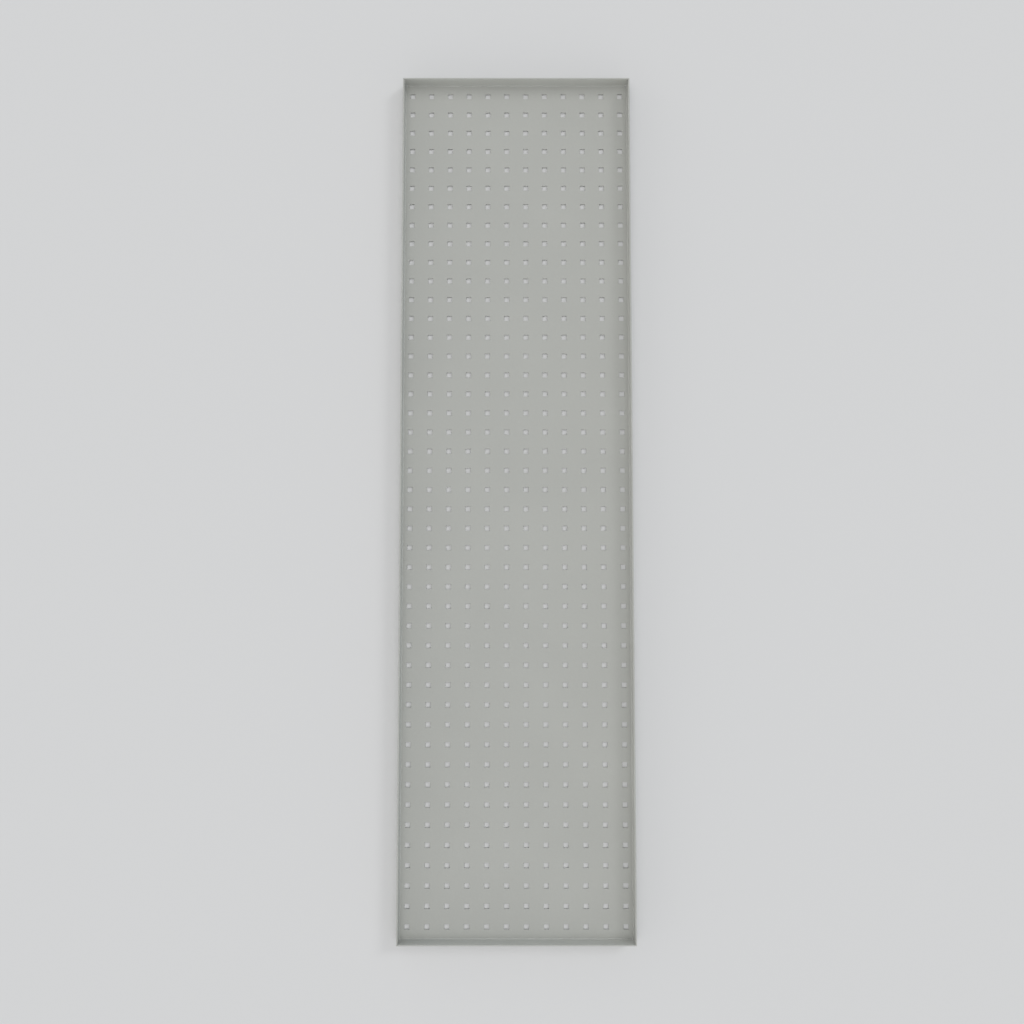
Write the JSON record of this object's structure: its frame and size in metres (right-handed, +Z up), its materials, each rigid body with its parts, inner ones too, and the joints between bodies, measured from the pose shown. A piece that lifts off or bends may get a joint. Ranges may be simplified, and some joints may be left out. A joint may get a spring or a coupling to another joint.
{
  "type": "perforated metal sheet",
  "caption": "Long perforated steel sheet with a square grid of square holes and a low flange folded up along every edge.",
  "frame": {"origin": "middle of the underside of the perforated face, which the panel lies on", "axes": "+X across the width, +Y along the length, +Z up, out of the open side of the folded edges"},
  "size_m": [0.452, 1.684, 0.025],
  "materials": {
    "powder_coat": "matt light grey powder coat"
  },
  "bodies": {
    "root": {"perforated_panel": "powder_coat"}
  },
  "joints": []
}
